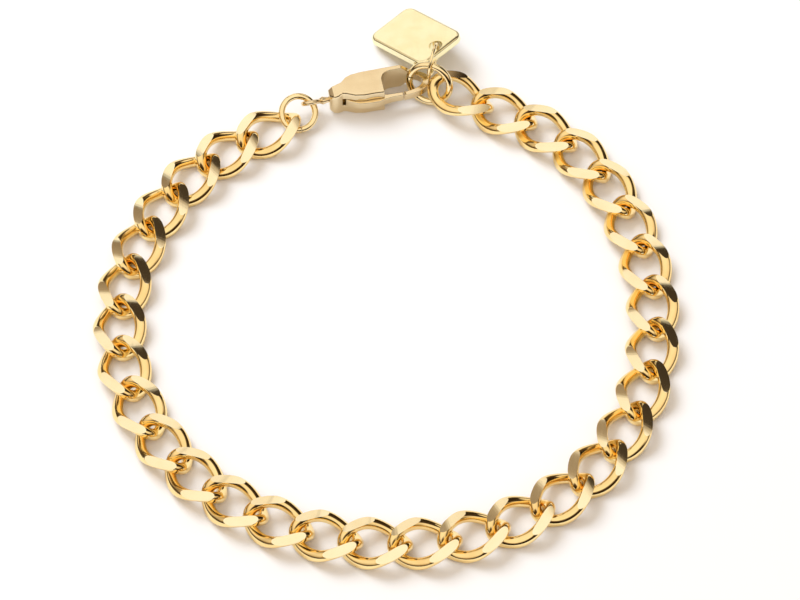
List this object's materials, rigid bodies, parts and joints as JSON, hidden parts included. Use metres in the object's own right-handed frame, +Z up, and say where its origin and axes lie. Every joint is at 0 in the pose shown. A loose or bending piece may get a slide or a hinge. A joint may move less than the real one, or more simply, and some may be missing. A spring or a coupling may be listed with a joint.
{
  "type": "link bracelet",
  "caption": "Fastened curb chain bracelet that lies flat as a round loop, with a sprung lobster clasp, two jump rings and a small bare rectangular tag on its own ring.",
  "frame": {"origin": "middle of the outline seen from above, on the plane that the bracelet rests on", "axes": "+Z up; +Y towards the side with the clasp and the tag; +X from the clasp's tail side to its nose side"},
  "size_m": [0.0658, 0.0734, 0.0064],
  "materials": {
    "gold": "polished gold, mirror-like",
    "pale_gold": "polished pale gold"
  },
  "bodies": {
    "bracelet": {"link_01": "gold", "link_02": "gold", "link_03": "gold", "link_04": "gold", "link_05": "gold", "link_06": "gold", "link_07": "gold", "link_08": "gold", "link_09": "gold", "link_10": "gold", "link_11": "gold", "link_12": "gold", "link_13": "gold", "link_14": "gold", "link_15": "gold", "link_16": "gold", "link_17": "gold", "link_18": "gold", "link_19": "gold", "link_20": "gold", "link_21": "gold", "link_22": "gold", "link_23": "gold", "link_24": "gold", "link_25": "gold", "link_26": "gold", "link_27": "gold", "link_28": "gold", "link_29": "gold", "link_30": "gold", "link_31": "gold", "jump_ring_left": "gold", "jump_ring_right": "gold", "clasp_eye": "gold", "clasp_body": "gold", "tag_ring": "gold", "lever_pin": "pale_gold", "tag": "pale_gold"},
    "lever": {"clasp_lever": "pale_gold"}
  },
  "joints": [
    {"name": "lever_hinge", "type": "hinge", "parent": "bracelet", "child": "lever", "pos_m": [-0.0039, 0.02367, 0.0019], "axis": [0, 0, 1], "range_deg": [0, 16], "stiffness_Nm_per_rad": 0.002, "springref_deg": -8.59}
  ]
}
